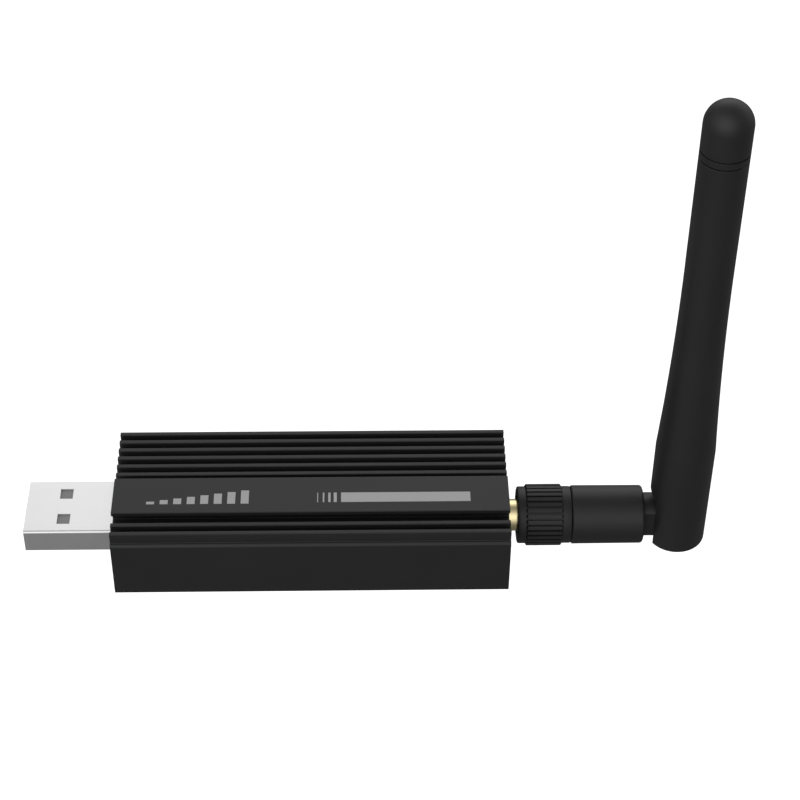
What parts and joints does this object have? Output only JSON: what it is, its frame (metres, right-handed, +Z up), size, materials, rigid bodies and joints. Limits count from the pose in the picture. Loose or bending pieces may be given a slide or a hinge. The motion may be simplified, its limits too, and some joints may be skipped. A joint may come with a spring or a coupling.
{
  "type": "smart home usb radio stick",
  "caption": "Finned metal stick with a USB-A plug at one end and a screw-on whip antenna that tilts and turns at the other.",
  "frame": {"origin": "middle of the housing's flat underside", "axes": "+X along the stick from the USB plug to the antenna, +Y to the back, +Z up out of the finned top"},
  "size_m": [0.1138, 0.0258, 0.088],
  "materials": {
    "anodised_case": "black anodised, satin",
    "plate_black": "black powder coat, satin",
    "screw_black": "black zinc",
    "plug_steel": "nickel plated, satin",
    "plug_plastic": "moulded, mid grey",
    "gold_plate": "gold plated, bright",
    "board_laminate": "solder mask, semi gloss",
    "chip_black": "moulded epoxy",
    "can_steel": "tin plated",
    "ceramic_tan": "ceramic",
    "lamp_clear": "clear",
    "white_insulator": "fluoropolymer",
    "nut_black": "black plated brass, satin",
    "brass_plain": "plain",
    "antenna_plastic": "moulded, satin",
    "whip_rubber": "smooth satin elastomer",
    "cable_jacket": "fluoropolymer jacket",
    "foam_grey": "foam",
    "label_ink": "screen printed ink"
  },
  "bodies": {
    "stick": {"housing": "anodised_case", "usb_end_plate": "plate_black", "antenna_end_plate": "plate_black", "usb_end_screws": "screw_black", "antenna_end_screws": "screw_black", "usb_shell": "plug_steel", "usb_tongue": "plug_plastic", "usb_contacts": "gold_plate", "circuit_board": "board_laminate", "radio_chip": "chip_black", "shield_can": "can_steel", "usb_bridge_chip": "chip_black", "voltage_regulator": "chip_black", "clock_crystals": "can_steel", "board_passives": "ceramic_tan", "status_leds": "lamp_clear", "antenna_jack": "gold_plate", "jack_insulator": "white_insulator", "jack_contact": "gold_plate"},
    "ferrule": {"antenna_ferrule": "gold_plate", "ferrule_insulator": "white_insulator", "antenna_pin": "gold_plate", "feed_cable": "cable_jacket"},
    "nut": {"coupling_nut": "nut_black", "nut_ring": "brass_plain"},
    "foot": {"swivel_base": "antenna_plastic"},
    "whip": {"whip_sheath": "whip_rubber", "tip_cap": "whip_rubber", "whip_cable": "cable_jacket", "radiator_sleeve": "brass_plain", "radiator_rod": "brass_plain", "rod_spacer": "foam_grey"}
  },
  "joints": [
    {"name": "antenna_off", "type": "slide", "parent": "stick", "child": "ferrule", "axis": [1, 0, 0], "range_m": [0, 0.00706]},
    {"name": "nut_turn", "type": "hinge", "parent": "ferrule", "child": "nut", "pos_m": [0.0385, -0.0006, 0.0052], "axis": [1, 0, 0], "range_deg": [0, 3600]},
    {"name": "foot_swivel", "type": "hinge", "parent": "ferrule", "child": "foot", "pos_m": [0.0493, -0.0006, 0.0052], "axis": [1, 0, 0], "range_deg": [-180, 180]},
    {"name": "whip_tilt", "type": "hinge", "parent": "foot", "child": "whip", "pos_m": [0.06132, -0.0006, 0.0052], "axis": [0, 1, 0], "range_deg": [0, 90]}
  ],
  "couplings": [
    {"joint": "nut_turn", "follows": "antenna_off", "rad_per_m": 8904.7}
  ]
}
